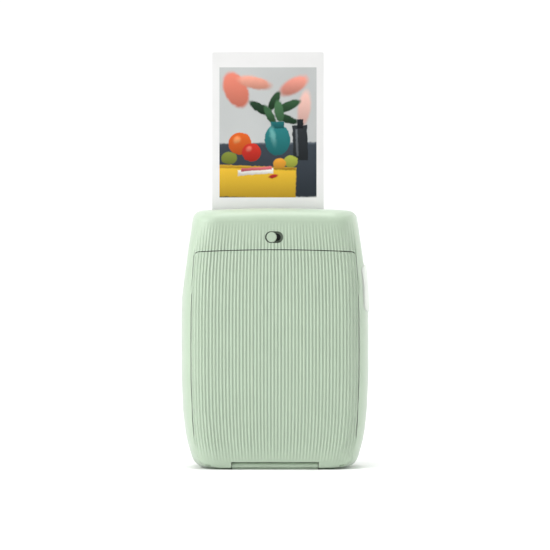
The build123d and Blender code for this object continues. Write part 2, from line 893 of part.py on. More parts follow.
with BuildPart() as film_cassette:
    left = film_x - cassette_width / 2
    right = film_x + cassette_width / 2
    block((left, cassette_back_y, cassette_bottom), (right, cassette_front_y, cassette_top))
    fillet(film_cassette.edges().filter_by(Axis.Y), cassette_corner)
    block((left + cassette_wall, cassette_back_y + cassette_wall, cassette_bottom + cassette_wall),
          (right - cassette_wall, cassette_front_y - cassette_wall, cassette_top - cassette_wall),
          Mode.SUBTRACT)
    half = picture_width / 2 + window_room
    tall = picture_length / 2 + window_room
    middle = picture_middle_in_cassette
    block((film_x - half, film_y, middle - tall),
          (film_x + half, cassette_front_y + 1, middle + tall), Mode.SUBTRACT)
    half = sheet_width / 2 + 0.4
    block((film_x - half, film_y - 0.45, cassette_top - cassette_wall - 1),
          (film_x + half, film_y + 0.45, cassette_top + 1), Mode.SUBTRACT)
    for side in (-1, 1):
        x = film_x + side * spring_spread / 2
        half = spring_width / 2 + 1
        tall = spring_span / 2 + 3
        block((x - half, cassette_back_y - 1, spring_middle - tall),
              (x + half, cassette_back_y + cassette_wall + 0.5, spring_middle + tall),
              Mode.SUBTRACT)
    half = claw_width / 2 + claw_side_play
    block((claw_x - half, film_y, claw_window_low),
          (claw_x + half, cassette_front_y + 1, claw_window_high), Mode.SUBTRACT)
film_cassette.part.label = "film_cassette"
export_step(film_cassette.part, "parts/film_cassette.step")

with BuildPart() as film_stack:
    half = sheet_width / 2
    first_back_y = film_y - sheet_thickness / 2 - stack_gap - sheet_thickness
    for i in range(cassette_sheets):
        y = first_back_y - i * sheet_pitch
        block((film_x - half, y, sheet_low),
              (film_x + half, y + sheet_thickness, sheet_low + sheet_length))
film_stack.part.label = "film_stack"
export_step(film_stack.part, "parts/film_stack.step")

with BuildPart() as pressure_pad:
    half = sheet_width / 2 - pad_inset
    block((film_x - half, pad_back_y, sheet_low + pad_end_inset),
          (film_x + half, pad_back_y + pad_thickness, sheet_low + sheet_length - pad_end_inset))
pressure_pad.part.label = "pressure_pad"
export_step(pressure_pad.part, "parts/pressure_pad.step")

print_face_y = film_y - sheet_thickness / 2
print_top = print_bottom + sheet_length
picture_low = print_top - picture_top_border - picture_length
picture_high = print_top - picture_top_border

with BuildPart() as instant_print:
    half = sheet_width / 2
    block((film_x - half, print_face_y, print_bottom),
          (film_x + half, print_face_y + sheet_thickness, print_top))
    fillet(instant_print.edges().filter_by(Axis.Y), sheet_corner)
    half = picture_width / 2
    block((film_x - half, print_face_y - 1, picture_low),
          (film_x + half, print_face_y + picture_inlay, picture_high), Mode.SUBTRACT)
instant_print.part.label = "instant_print"
export_step(instant_print.part, "parts/instant_print.step")

with BuildPart() as print_picture:
    half = picture_width / 2
    block((film_x - half, print_face_y, picture_low),
          (film_x + half, print_face_y + picture_inlay, picture_high))
print_picture.part.label = "print_picture"
export_step(print_picture.part, "parts/print_picture.step")

# ------------------------------------------------------------------ claw

with BuildPart() as pick_claw:
    half = claw_width / 2
    strip_y = chamber_back_y + claw_slide_gap
    block((claw_x - half, strip_y, claw_bottom),
          (claw_x + half, strip_y + claw_thickness, claw_strip_top))
    tip_y = film_y + sheet_thickness / 2 + claw_tip_gap
    block((claw_x - half, tip_y, claw_bottom),
          (claw_x + half, strip_y + claw_thickness, claw_bottom + claw_thickness))
pick_claw.part.label = "pick_claw"
export_step(pick_claw.part, "parts/pick_claw.step")

# ------------------------------------------------------------------ exposure head

head_face_y = film_y + head_gap
lens_low = (head_bottom + head_top - lens_height) / 2
lens_high = lens_low + lens_height
lens_face_y = film_y + lens_gap
lens_back_y = lens_face_y + lens_depth

with BuildPart() as exposure_head:
    block((inner_left, head_face_y, head_bottom), (inner_right, head_face_y + head_depth, head_top))
    half = lens_length / 2 + lens_pocket_room
    block((film_x - half, film_y, lens_low - lens_pocket_room),
          (film_x + half, lens_back_y, lens_high + lens_pocket_room), Mode.SUBTRACT)
exposure_head.part.label = "exposure_head"
export_step(exposure_head.part, "parts/exposure_head.step")

with BuildPart() as lens_bar:
    half = lens_length / 2
    block((film_x - half, lens_face_y, lens_low), (film_x + half, lens_back_y, lens_high))
    fillet(lens_bar.edges().filter_by(Axis.X).group_by(Axis.Y)[0], lens_round)
lens_bar.part.label = "lens_bar"
export_step(lens_bar.part, "parts/lens_bar.step")

# ------------------------------------------------------------------ rollers

plate_left = chamber_right_x
plate_right = plate_left + plate_thickness
first_gear_x = plate_right + 0.8
gear_planes = [first_gear_x + i * gear_step for i in range(3)]
shaft_left = chamber_left_x - shaft_overhang
bearing_bore = shaft_radius + running_clearance


def roller_shaft(y, right_end):
    rod_x(shaft_left, right_end, y, roller_z, shaft_radius)


def roller_sleeve(y):
    half = roller_length / 2
    rod_x(film_x - half, film_x + half, y, roller_z, roller_radius)
    rod_x(film_x - half, film_x + half, y, roller_z, shaft_radius, Mode.SUBTRACT)


with BuildPart() as drive_shaft:
    roller_shaft(drive_y, gear_planes[1] + gear_face + shaft_end)
drive_shaft.part.label = "drive_shaft"
export_step(drive_shaft.part, "parts/drive_shaft.step")

with BuildPart() as pinch_shaft:
    roller_shaft(pinch_y, gear_planes[0] + gear_face + shaft_end)
pinch_shaft.part.label = "pinch_shaft"
export_step(pinch_shaft.part, "parts/pinch_shaft.step")

with BuildPart() as drive_roller:
    roller_sleeve(drive_y)
drive_roller.part.label = "drive_roller"
export_step(drive_roller.part, "parts/drive_roller.step")

with BuildPart() as pinch_roller:
    roller_sleeve(pinch_y)
pinch_roller.part.label = "pinch_roller"
export_step(pinch_roller.part, "parts/pinch_roller.step")

with BuildPart() as roller_bearings:
    for y in (drive_y, pinch_y):
        for outer, inner in ((chamber_left_x, inner_left), (chamber_right_x, inner_right)):
            inward = bearing_flange if outer < film_x else -bearing_flange
            ends = sorted((outer, inner))
            rod_x(ends[0], ends[1], y, roller_z, bearing_radius)
            ends = sorted((inner, inner + inward))
            rod_x(ends[0], ends[1], y, roller_z, bearing_flange_radius)
        rod_x(-body_width, body_width, y, roller_z, bearing_bore, Mode.SUBTRACT)
roller_bearings.part.label = "roller_bearings"
export_step(roller_bearings.part, "parts/roller_bearings.step")

# ------------------------------------------------------------------ gear train

# Gear 2 drives the roller gear, gear 1 drives gear 2 and the motor drives gear 1
gear_2_turn = radians(-70)
gear_1_turn = radians(-60)
motor_turn = radians(-81.4)


def centre_distance(teeth_a, teeth_b):
    return module * (teeth_a + teeth_b) / 2


def step_from(place, turn, distance):
    return (place[0] + distance * cos(turn), place[1] + distance * sin(turn))


drive_place = (drive_y, roller_z)
pinch_place = (pinch_y, roller_z)
gear_2_place = step_from(drive_place, gear_2_turn,
                         centre_distance(roller_gear_teeth, small_pinion_teeth))
gear_1_place = step_from(gear_2_place, gear_1_turn,
                         centre_distance(small_pinion_teeth, wheel_teeth))
motor_place = step_from(gear_1_place, motor_turn,
                        centre_distance(motor_pinion_teeth, wheel_teeth))


def mesh_phase(teeth_a, phase_a, turn_to_b, teeth_b):
    """Turn of gear b that puts a tooth gap where gear a has a tooth, on their centre line."""
    tooth_a = (phase_a - turn_to_b) * teeth_a / (2 * pi)
    return turn_to_b + pi + (0.5 - tooth_a) * 2 * pi / teeth_b


def gear_points(place, teeth, phase):
    """Outline of a gear: each tooth has straight flanks through the pitch circle."""
    pitch_radius = module * teeth / 2
    root_radius = pitch_radius - 1.2 * module
    tip_radius = pitch_radius + 0.9 * module
    backlash = 0.14
    half_pitch = (pi * module / 2 - backlash) / 2
    half_root = half_pitch + 1.2 * module * tan(radians(8))
    half_tip = half_pitch - 0.9 * module * tan(radians(25))
    points = []
    for tooth in range(teeth):
        middle = phase + 2 * pi * tooth / teeth
        for radius, half_thickness, side in (
            (root_radius, half_root, -1),
            (pitch_radius, half_pitch, -1),
            (tip_radius, half_tip, -1),
            (tip_radius, half_tip, 1),
            (pitch_radius, half_pitch, 1),
            (root_radius, half_root, 1),
        ):
            turn = middle + side * half_thickness / radius
            points.append((place[0] + radius * cos(turn), place[1] + radius * sin(turn)))
    return points


def gear(place, teeth, phase, x, face=gear_face):
    with BuildSketch(Plane.YZ.offset(x)) as profile:
        with BuildLine():
            Polyline(*gear_points(place, teeth, phase), close=True)
        make_face()
    extrude(profile.sketch, amount=face)


roller_gear_phase = mesh_phase(small_pinion_teeth, 0.0, gear_2_turn + pi, roller_gear_teeth)
pinch_gear_phase = mesh_phase(pair_teeth, 0.0, pi, pair_teeth)
gear_2_wheel_phase = mesh_phase(small_pinion_teeth, 0.0, gear_1_turn + pi, wheel_teeth)
gear_1_wheel_phase = mesh_phase(motor_pinion_teeth, 0.0, motor_turn + pi, wheel_teeth)

with BuildPart() as roller_gears:
    gear(drive_place, pair_teeth, 0.0, gear_planes[0])
    gear(drive_place, roller_gear_teeth, roller_gear_phase, gear_planes[1])
    hub_end = gear_planes[1]
    rod_x(gear_planes[0] + gear_face - 0.1, hub_end + 0.1, drive_y, roller_z, 2 * shaft_radius)
    rod_x(gear_planes[0], hub_end + gear_face, drive_y, roller_z, shaft_radius, Mode.SUBTRACT)
roller_gears.part.label = "roller_gears"
export_step(roller_gears.part, "parts/roller_gears.step")

with BuildPart() as pinch_gear:
    gear(pinch_place, pair_teeth, pinch_gear_phase, gear_planes[0])
    rod_x(gear_planes[0], gear_planes[1], pinch_y, roller_z, shaft_radius, Mode.SUBTRACT)
pinch_gear.part.label = "pinch_gear"
export_step(pinch_gear.part, "parts/pinch_gear.step")

with BuildPart() as gear_2:
    gear(gear_2_place, small_pinion_teeth, 0.0, gear_planes[1], gear_step)
    gear(gear_2_place, wheel_teeth, gear_2_wheel_phase, gear_planes[2])
    rod_x(gear_planes[1], gear_planes[2] + gear_face, *gear_2_place, bearing_bore, Mode.SUBTRACT)
gear_2.part.label = "gear_2"
export_step(gear_2.part, "parts/gear_2.step")

with BuildPart() as gear_1:
    gear(gear_1_place, wheel_teeth, gear_1_wheel_phase, gear_planes[0])
    rod_x(gear_planes[0], gear_planes[2] + 0.1, *gear_1_place, 2 * shaft_radius)
    gear(gear_1_place, small_pinion_teeth, 0.0, gear_planes[2])
    rod_x(gear_planes[0], gear_planes[2] + gear_face, *gear_1_place, bearing_bore, Mode.SUBTRACT)
gear_1.part.label = "gear_1"
export_step(gear_1.part, "parts/gear_1.step")

with BuildPart() as motor_pinion:
    gear(motor_place, motor_pinion_teeth, 0.0, gear_planes[0])
    rod_x(gear_planes[0], gear_planes[1], *motor_place, motor_shaft_radius, Mode.SUBTRACT)
motor_pinion.part.label = "motor_pinion"
export_step(motor_pinion.part, "parts/motor_pinion.step")

with BuildPart() as motor_shaft:
    rod_x(plate_left - motor_shaft_inside, gear_planes[0] + gear_face, *motor_place,
          motor_shaft_radius)
motor_shaft.part.label = "motor_shaft"
export_step(motor_shaft.part, "parts/motor_shaft.step")

with BuildPart() as motor:
    rod_x(plate_left - motor_length, plate_left, *motor_place, motor_radius)
    fillet(motor.edges().filter_by(GeomType.CIRCLE), motor_round)
    rod_x(plate_left - motor_length - motor_boss_height, plate_left - motor_length + 1,
          *motor_place, motor_boss_radius)
    rod_x(plate_left - motor_shaft_inside - 1, plate_left, *motor_place, motor_shaft_radius + running_clearance,
          Mode.SUBTRACT)
motor.part.label = "motor"
export_step(motor.part, "parts/motor.step")

with BuildPart() as gear_posts:
    for place in (gear_1_place, gear_2_place):
        rod_x(plate_left, gear_planes[2] + gear_face + shaft_end, *place, shaft_radius)
gear_posts.part.label = "gear_posts"
export_step(gear_posts.part, "parts/gear_posts.step")

with BuildPart() as gear_plate:
    with BuildSketch(Plane.YZ.offset(plate_left)):
        with BuildLine():
            Polyline(
                (flange_y + 0.5, roller_z - 7.5),
                (flange_y + 0.5, cheek_top - 0.3),
                (cheek_back_y - 0.5, cheek_top - 0.3),
                (gear_1_place[0] + 3, gear_2_place[1]),
                (motor_place[0] + motor_radius, gear_1_place[1]),
                (motor_place[0] + motor_radius, motor_place[1] - motor_radius + 0.5),
                (motor_place[0] - motor_radius, motor_place[1] - motor_radius + 0.5),
                (chamber_back_y - 0.6, motor_place[1] + 4),
                (flange_y + 6, roller_z - 13),
                close=True,
            )
        make_face()
    extrude(amount=plate_thickness)
    fillet(gear_plate.edges().filter_by(Axis.X), 1.0)
    for place in (drive_place, pinch_place, motor_place):
        rod_x(plate_left - 1, plate_right + 1, *place, 1.5, Mode.SUBTRACT)
    for place in (gear_1_place, gear_2_place):
        rod_x(plate_left - 1, plate_right + 1, *place, shaft_radius, Mode.SUBTRACT)
    for place in plate_screws_at:
        rod_x(plate_left - 1, plate_right + 1, *place, plate_screw_radius + 0.05, Mode.SUBTRACT)
gear_plate.part.label = "gear_plate"
export_step(gear_plate.part, "parts/gear_plate.step")

# ------------------------------------------------------------------ electrics

battery_left = claw_x + claw_width / 2 + claw_side_play + battery_side_room
battery_back_y = chamber_back_y + general_gap
battery_bottom = cassette_bottom + battery_foot_room

with BuildPart() as battery:
    block((battery_left, battery_back_y, battery_bottom),
          (battery_left + battery_size[0], battery_back_y + battery_size[1],
           battery_bottom + battery_size[2]))
    fillet(battery.edges().filter_by(Axis.Z), battery_corner)
battery.part.label = "battery"
export_step(battery.part, "parts/battery.step")

with BuildPart() as main_board:
    block((board_left, board_back_y, board_bottom), (board_right, board_front_y, board_top))
    fillet(main_board.edges().filter_by(Axis.Y), board_corner)
    for x, z in board_screws_at:
        rod_y(x, board_back_y, board_front_y, z, board_screw_radius + 0.1, Mode.SUBTRACT)
main_board.part.label = "main_board"
export_step(main_board.part, "parts/main_board.step")

with BuildPart() as board_screws:
    for x, z in board_screws_at:
        rod_y(x, board_back_y - board_screw_head_height, board_back_y, z, board_screw_head_radius)
        rod_y(x, board_back_y - board_screw_head_height / 2, board_front_y + board_screw_depth, z,
              board_screw_radius)
board_screws.part.label = "board_screws"
export_step(board_screws.part, "parts/board_screws.step")

# Parts soldered on the board: middle across, middle up, width, height, thickness
board_parts_at = (
    (0.30, 0.62, 14.0, 14.0, 1.4),
    (0.62, 0.70, 9.0, 9.0, 1.0),
    (0.58, 0.36, 7.0, 5.0, 1.1),
    (0.80, 0.48, 5.0, 10.0, 2.6),
    (0.42, 0.20, 10.0, 4.0, 3.2),
)

with BuildPart() as board_parts:
    for across, up, width, height, thickness in board_parts_at:
        x = board_left + across * board_size[0]
        z = board_bottom + up * board_size[2]
        block((x - width / 2, board_back_y - thickness, z - height / 2),
              (x + width / 2, board_back_y, z + height / 2))
board_parts.part.label = "board_parts"
export_step(board_parts.part, "parts/board_parts.step")

usb_face_x = board_left - usb_overhang

with BuildPart() as usb_socket:
    side_slot(usb_width, usb_height, usb_face_x, usb_depth, usb_y, usb_above_foot, Mode.ADD)
    side_slot(usb_width - 2 * usb_shell, usb_height - 2 * usb_shell, usb_face_x, usb_depth - 1,
              usb_y, usb_above_foot, Mode.SUBTRACT)
    half = usb_tongue[0] / 2
    wide = usb_tongue[1] / 2
    block((usb_face_x + usb_tongue_inset, usb_y - half, usb_above_foot - wide),
          (usb_face_x + usb_depth - usb_shell, usb_y + half, usb_above_foot + wide))
usb_socket.part.label = "usb_socket"
export_step(usb_socket.part, "parts/usb_socket.step")

# ------------------------------------------------------------------ screws

with BuildPart() as case_screws:
    for x, z in screw_places:
        rod_y(x, head_seat_y - screw_head_height, head_seat_y, z, screw_head_radius)
        rod_y(x, head_seat_y - 0.2, front_boss_end_y - 1.2, z, screw_radius)
    for x, z in screw_places:
        rod_y(x, head_seat_y - screw_head_height - 1, head_seat_y - 0.4, z, 0.5, Mode.SUBTRACT)
case_screws.part.label = "case_screws"
export_step(case_screws.part, "parts/case_screws.step")

with BuildPart() as plate_screws:
    for place in plate_screws_at:
        rod_x(plate_left - chamber_wall, plate_right, *place, plate_screw_radius)
        rod_x(plate_right, plate_right + plate_screw_head_height, *place, plate_screw_head_radius)
plate_screws.part.label = "plate_screws"
export_step(plate_screws.part, "parts/plate_screws.step")
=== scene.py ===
# %% [markdown]
# # A compact photo printer
# The printer stands on its foot and a finished print comes out of its top. Every piece that has a
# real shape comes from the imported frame. This script dresses that frame: it gives the shell its
# smooth pillow form and its ribs, draws the picture on the print, and gives each piece its finish.
# All sizes in this script are in millimetres, and become metres when a mesh is finished.

import json
import math

import bmesh
import bpy
import numpy as np
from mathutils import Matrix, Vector


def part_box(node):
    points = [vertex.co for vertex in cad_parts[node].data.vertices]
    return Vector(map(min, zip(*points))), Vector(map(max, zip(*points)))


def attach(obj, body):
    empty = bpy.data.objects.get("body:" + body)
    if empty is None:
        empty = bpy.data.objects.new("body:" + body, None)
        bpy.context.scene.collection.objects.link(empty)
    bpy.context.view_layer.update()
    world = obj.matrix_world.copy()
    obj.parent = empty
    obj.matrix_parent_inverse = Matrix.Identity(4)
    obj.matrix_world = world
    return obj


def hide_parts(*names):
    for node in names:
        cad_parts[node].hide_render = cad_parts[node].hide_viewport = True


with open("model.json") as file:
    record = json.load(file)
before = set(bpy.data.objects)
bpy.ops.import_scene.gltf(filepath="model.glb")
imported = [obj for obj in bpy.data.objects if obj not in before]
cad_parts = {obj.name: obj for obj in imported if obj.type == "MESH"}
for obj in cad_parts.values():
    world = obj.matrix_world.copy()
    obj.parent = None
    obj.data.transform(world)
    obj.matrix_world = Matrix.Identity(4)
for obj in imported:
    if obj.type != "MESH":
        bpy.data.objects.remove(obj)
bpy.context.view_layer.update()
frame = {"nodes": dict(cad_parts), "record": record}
MM = 0.001
print("CAD nodes:", len(frame["nodes"]))


def box_mm(node):
    """Lowest and highest corner of a CAD node, in millimetres."""
    low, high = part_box(node)
    return [value / MM for value in low], [value / MM for value in high]


def placed(name, data):
    """A new object in the scene, made of that data."""
    made = bpy.data.objects.new(name, data)
    bpy.context.scene.collection.objects.link(made)
    return made


# %% [markdown]
# ## Camera
# The photo is taken level, from about a metre away with a long lens, square to the film door.
# The camera goes in first, so that every later look is judged from the photo's own place.

# %% Camera
camera_distance = 1000.0
camera_height = 93.2
photo_width_at_body = 267.6
sensor_width = 36.0

camera_data = bpy.data.cameras.new("photo_camera")
camera_data.sensor_width = sensor_width
camera_data.lens = sensor_width * camera_distance / photo_width_at_body
camera_data.dof.use_dof = False
camera = placed("photo_camera", camera_data)
camera.location = (0, -camera_distance * MM, camera_height * MM)
camera.rotation_euler = (math.radians(90), 0, 0)
bpy.context.scene.camera = camera
print("lens", round(camera_data.lens, 1), "mm")

# %% [markdown]
# ## Shader maths
# A material is a graph of nodes, and a graph is hard to read as a list of links. This small class
# wraps one socket, so that node maths can be written as ordinary sums. `node` adds any other node:
# its settings are set first, then the values or links of its sockets.


# %% A socket that can be used in sums
class Shade:
    """One output socket of a material's nodes, usable in Python sums."""

    def __init__(self, tree, socket):
        self.tree, self.socket = tree, socket

    def node(self, kind, settings, sockets, output=0):
        made = self.tree.nodes.new(kind)
        for name, value in settings.items():
            if name == "stops":
                fill_ramp(made.color_ramp, value)
            else:
                setattr(made, name, value)
        for name, value in sockets.items():
            if isinstance(value, Shade):
                self.tree.links.new(value.socket, made.inputs[name])
            else:
                made.inputs[name].default_value = value
        return Shade(self.tree, made.outputs[output])

    def maths(self, operation, other=0.0):
        return self.node("ShaderNodeMath", {"operation": operation}, {0: self, 1: other})

    def __add__(self, other):
        return self.maths("ADD", other)

    def __sub__(self, other):
        return self.maths("SUBTRACT", other)

    def __mul__(self, other):
        return self.maths("MULTIPLY", other)

    def __truediv__(self, other):
        return self.maths("DIVIDE", other)

    def __rsub__(self, other):
        return (self * -1.0) + other

    __radd__ = __add__
    __rmul__ = __mul__

    def clamp(self):
        return self.maths("MAXIMUM", 0.0).maths("MINIMUM", 1.0)

    def step(self, start, end):
        """Rises smoothly from 0 at start to 1 at end."""
        share = ((self - start) / (end - start)).clamp()
        return share * share * (3.0 - 2.0 * share)

    def noise(self, scale, detail=3.0, roughness=0.55):
        return self.node("ShaderNodeTexNoise", {}, {
            "Vector": self, "Scale": scale, "Detail": detail, "Roughness": roughness})

    def ramp(self, stops):
        return self.node("ShaderNodeValToRGB", {"stops": stops}, {0: self})

    def colours(self, first, second):
        """The first colour where this is 0 and the second where it is 1."""
        return self.node("ShaderNodeMix", {"data_type": "RGBA"},
                         {0: self, 6: first, 7: second}, output=2)


def fill_ramp(ramp, stops):
    while len(ramp.elements) < len(stops):
        ramp.elements.new(0.5)
    for element, (place, colour) in zip(ramp.elements, stops):
        element.position = place
        element.color = colour


def tint(hexes):
    """A linear colour from the usual six-digit notation."""
    parts = [int(hexes[i:i + 2], 16) / 255 for i in (0, 2, 4)]
    linear = [p / 12.92 if p <= 0.04045 else ((p + 0.055) / 1.055) ** 2.4 for p in parts]
    return (*linear, 1.0)


def shaded(colour, factor):
    return (*[min(1.0, channel * factor) for channel in colour[:3]], 1.0)


print("shader maths ready")

# %% [markdown]
# ## Finishes
# Each finish is one function. It starts from the same place: a material with the object's own
# coordinates in millimetres, which lie still when the piece moves. Moulded plastic gets its fine
# spark-eroded grain, steel its drawn lines and rubber its dull mottling. The grain sits in the bump
# and in the roughness, because that is where a real surface shows it.


# %% Starting a material
def start_material(name):
    """A new material's shader, and the place on the piece in millimetres."""
    material = bpy.data.materials.new(name)
    material.use_nodes = True
    tree = material.node_tree
    shader = tree.nodes["Principled BSDF"]
    metres = Shade(tree, tree.nodes.new("ShaderNodeTexCoord").outputs["Object"])
    place = metres.node("ShaderNodeVectorMath", {"operation": "SCALE"},
                        {0: metres, "Scale": 1 / MM})
    return material, shader, place


def feed(shader, socket, value):
    """Sets a shader's socket, or links what varies over the surface to it."""
    if isinstance(value, Shade):
        value.tree.links.new(value.socket, shader.inputs[socket])
    else:
        shader.inputs[socket].default_value = value


def bump(height, depth):
    """A bump of that depth in millimetres."""
    return height.node("ShaderNodeBump", {}, {"Height": height, "Strength": 1.0,
                                              "Distance": depth * MM})


def along(place, axis):
    return place.node("ShaderNodeSeparateXYZ", {}, {0: place}, output="XYZ".index(axis))


def waves(height, length):
    """A wave of that length, from -1 to 1."""
    return (height * (2 * math.pi / length)).maths("SINE")


def stretched(place, scale):
    return place.node("ShaderNodeVectorMath", {"operation": "MULTIPLY"}, {0: place, 1: scale})


print("material helpers ready")


# %% Moulded plastic
grain_scale, grain_depth = 5.0, 0.012
# Painted sheen: where it starts and ends as the surface turns away, and how strong it is.
painted_sheen_start, painted_sheen_end, painted_sheen_strength = 0.25, 0.95, 0.75
# Painted shade in a recess: how far past its rim it fades, and how dark it is painted.
recess_shade_rim = 0.15
recess_shade_factor = 0.3


def moulded_plastic(name, colour, roughness=0.45, mottle=0.03, painted_sheen=None, painted_recess_shade=None):
    """Plastic with a fine grain, a painted sheen where it turns away, and painted shade in a
    slot-shaped recess.
    """
    material, shader, place = start_material(name)
    cloud = place.noise(0.045, detail=2.0)
    fine = place.noise(grain_scale, detail=2.0, roughness=0.7)
    flow = place.noise(0.6, detail=3.0)
    tone = cloud * 0.6 + flow * 0.4
    paint = tone.ramp([(0.3, shaded(colour, 1 - mottle)), (0.7, shaded(colour, 1 + mottle))])
    # Painted sheen: the colour turns paler and greyer where the surface turns away from the view.
    if painted_sheen:
        turned = place.node("ShaderNodeLayerWeight", {}, {"Blend": 0.5}, output=1)
        paint = (turned.step(painted_sheen_start, painted_sheen_end) * painted_sheen_strength).colours(paint, painted_sheen)
    # Painted shade: the walls and floor of a slot-shaped recess are darkened to the shade that
    # falls in it.
    if painted_recess_shade:
        middle, height, half_width, half_height, face, floor = painted_recess_shade
        beside = (along(place, "X") - middle).maths("ABSOLUTE") - (half_width - half_height)
        away = beside.maths("MAXIMUM", 0.0)
        above = along(place, "Z") - height
        radius = (away * away + above * above).maths("SQRT")
        within = radius.step(half_height + recess_shade_rim, half_height - 0.02)
        depth = along(place, "Y")
        recess_shade_mask = within * depth.step(face + 0.1, face + 0.5) * (1.0 - depth.step(floor, floor + 0.2))
        paint = recess_shade_mask.colours(paint, shaded(colour, recess_shade_factor))
    feed(shader, "Base Color", paint)
    feed(shader, "Roughness", (fine - 0.5) * 0.12 + (cloud - 0.5) * 0.08 + roughness)
    feed(shader, "Normal", bump(fine, grain_depth))
    feed(shader, "IOR", 1.48)
    return material


# %% Metals
def drawn_steel(name, colour, lines=(0.4, 9.0, 9.0), roughness=0.28):
    material, shader, place = start_material(name)
    streak = stretched(place, lines).noise(1.0, detail=4.0)
    stain = place.noise(0.15, detail=3.0)
    tone = streak * 0.6 + stain * 0.4
    feed(shader, "Base Color", tone.ramp([(0.25, shaded(colour, 0.82)),
                                          (0.75, shaded(colour, 1.08))]))
    feed(shader, "Roughness", (streak - 0.5) * 0.25 + roughness)
    feed(shader, "Normal", bump(streak, 0.008))
    feed(shader, "Metallic", 1.0)
    return material


# %% Rubber, paper and glass
def rubber(name, colour):
    material, shader, place = start_material(name)
    dust = place.noise(0.8, detail=4.0)
    fine = place.noise(7.0, detail=2.0)
    feed(shader, "Base Color", dust.ramp([(0.35, shaded(colour, 0.8)), (0.8, shaded(colour, 1.6))]))
    feed(shader, "Roughness", (dust - 0.5) * 0.2 + 0.78)
    feed(shader, "Normal", bump(fine, 0.02))
    return material


def coated_paper(name, colour, roughness=0.32):
    material, shader, place = start_material(name)
    fibre = place.noise(2.4, detail=5.0)
    cloud = place.noise(0.08, detail=2.0)
    feed(shader, "Base Color", cloud.ramp([(0.3, shaded(colour, 0.985)),
                                           (0.7, shaded(colour, 1.01))]))
    feed(shader, "Roughness", (fibre - 0.5) * 0.08 + roughness)
    feed(shader, "Normal", bump(fibre, 0.003))
    return material


def clear_rods(name, colour):
    """A bar of tiny lens rods: dark glass with fine upright lines."""
    material, shader, place = start_material(name)
    rods = waves(along(place, "X"), 0.6)
    feed(shader, "Base Color", (rods * 0.5 + 0.5).ramp([(0.2, shaded(colour, 0.5)), (0.9, colour)]))
    feed(shader, "Roughness", rods * 0.03 + 0.08)
    feed(shader, "Normal", bump(rods, 0.05))
    feed(shader, "Coat Weight", 0.6)
    return material


# %% The circuit board
def circuit_board(name, colour):
    """Green solder resist with copper tracks that shine faintly through it."""
    material, shader, place = start_material(name)
    warp = place.noise(0.12, detail=1.0)
    lanes = waves(along(place, "X") + warp * 14.0, 1.6)
    rows = waves(along(place, "Z") + warp * 10.0, 2.2)
    patch = place.noise(0.09, detail=0.0).step(0.46, 0.5)
    tracks = (lanes * patch + rows * (1.0 - patch)).step(0.35, 0.6)
    feed(shader, "Base Color", tracks.colours(colour, shaded(colour, 1.7)))
    feed(shader, "Roughness", tracks * 0.08 + 0.3)
    feed(shader, "Normal", bump(tracks, 0.03))
    feed(shader, "Coat Weight", 0.3)
    return material


print("finishes ready")

# %% [markdown]
# ## The picture on the print
# The print shows a bright still life. A picture can be painted by nodes alone: each shape is an
# ellipse or a rounded box with its own centre, size, turn and colour, and its edge is wavered with
# noise so that it reads as a photographed thing. The shapes are laid over each other in order,
# from the wall at the back to the table in front. The list is in millimetres from the middle of the
# picture, so that it stays in place if the print moves.

# %% The still life
wall_colour = tint("C9CCCB")
still_life = (
    # kind, across, up, half width, half height, turn in degrees, colour, softness
    ("box", 0, -20.0, 25, 13.0, 1, "3D444C", 0.5),
    ("box", 0, -7.2, 25, 0.6, 1, "575F68", 0.6),
    ("box", -6.5, -25.5, 20, 7.6, -2, "E3B83A", 0.4),
    ("box", -6.5, -18.6, 20, 0.6, -2, "B98F2C", 0.5),
    ("oval", -15.5, 19, 5.6, 9.0, 24, "E88873", 0.8),
    ("oval", -6.5, 22.5, 8.0, 3.0, -12, "F0A893", 0.8),
    ("oval", 12.5, 21, 7.5, 3.6, 30, "EB9C8B", 0.9),
    ("oval", 17.5, 10, 3.0, 8.5, -8, "F3C4B8", 0.8),
    ("oval", 3.0, 13.5, 5.2, 2.0, 62, "2F4A33", 0.4),
    ("oval", 9.5, 11.0, 6.6, 2.2, 24, "35553A", 0.4),
    ("oval", -3.5, 10.0, 6.4, 2.1, 150, "28402E", 0.4),
    ("oval", 1.0, 6.5, 5.6, 1.8, 118, "3F6344", 0.4),
    ("oval", 9.0, 5.0, 5.8, 1.9, -18, "2A4530", 0.4),
    ("oval", 5.4, 8.6, 2.2, 5.4, 8, "4B7350", 0.4),
    ("oval", 4.6, -5.0, 6.2, 7.6, 0, "2E7C7E", 0.25),
    ("box", 4.6, 2.0, 3.2, 1.6, 0, "276A6C", 0.25),
    ("oval", 2.4, -3.4, 1.2, 4.0, 10, "6FB3B0", 0.9),
    ("oval", -13.5, -7.0, 5.6, 5.4, 0, "D9622B", 0.25),
    ("oval", -15.0, -5.2, 1.8, 1.5, 30, "F29B5F", 0.8),
    ("oval", -8.0, -11.2, 4.6, 4.4, 0, "C8372D", 0.25),
    ("oval", -9.2, -9.6, 1.3, 1.1, 30, "E8796A", 0.7),
    ("box", 15.6, -6.5, 3.6, 8.5, 2, "33373A", 0.25),
    ("box", 15.6, 2.6, 1.5, 2.2, 2, "2A2D30", 0.25),
    ("box", 14.0, -6.5, 0.5, 6.5, 2, "6A7074", 0.4),
    ("oval", -18.8, -14.0, 3.8, 3.0, 0, "7F8A3C", 0.3),
    ("oval", 11.0, -15.6, 3.4, 2.9, 0, "A9B24A", 0.3),
    ("oval", 5.6, -16.6, 3.0, 2.6, 0, "E5A13A", 0.3),
    ("box", -6.0, -20.6, 8.6, 1.3, 4, "F4F1EA", 0.3),
    ("box", -5.6, -19.2, 7.4, 0.8, 4, "D66A72", 0.3),
    ("oval", 2.5, -22.8, 2.2, 0.9, 12, "B7352F", 0.3),
)


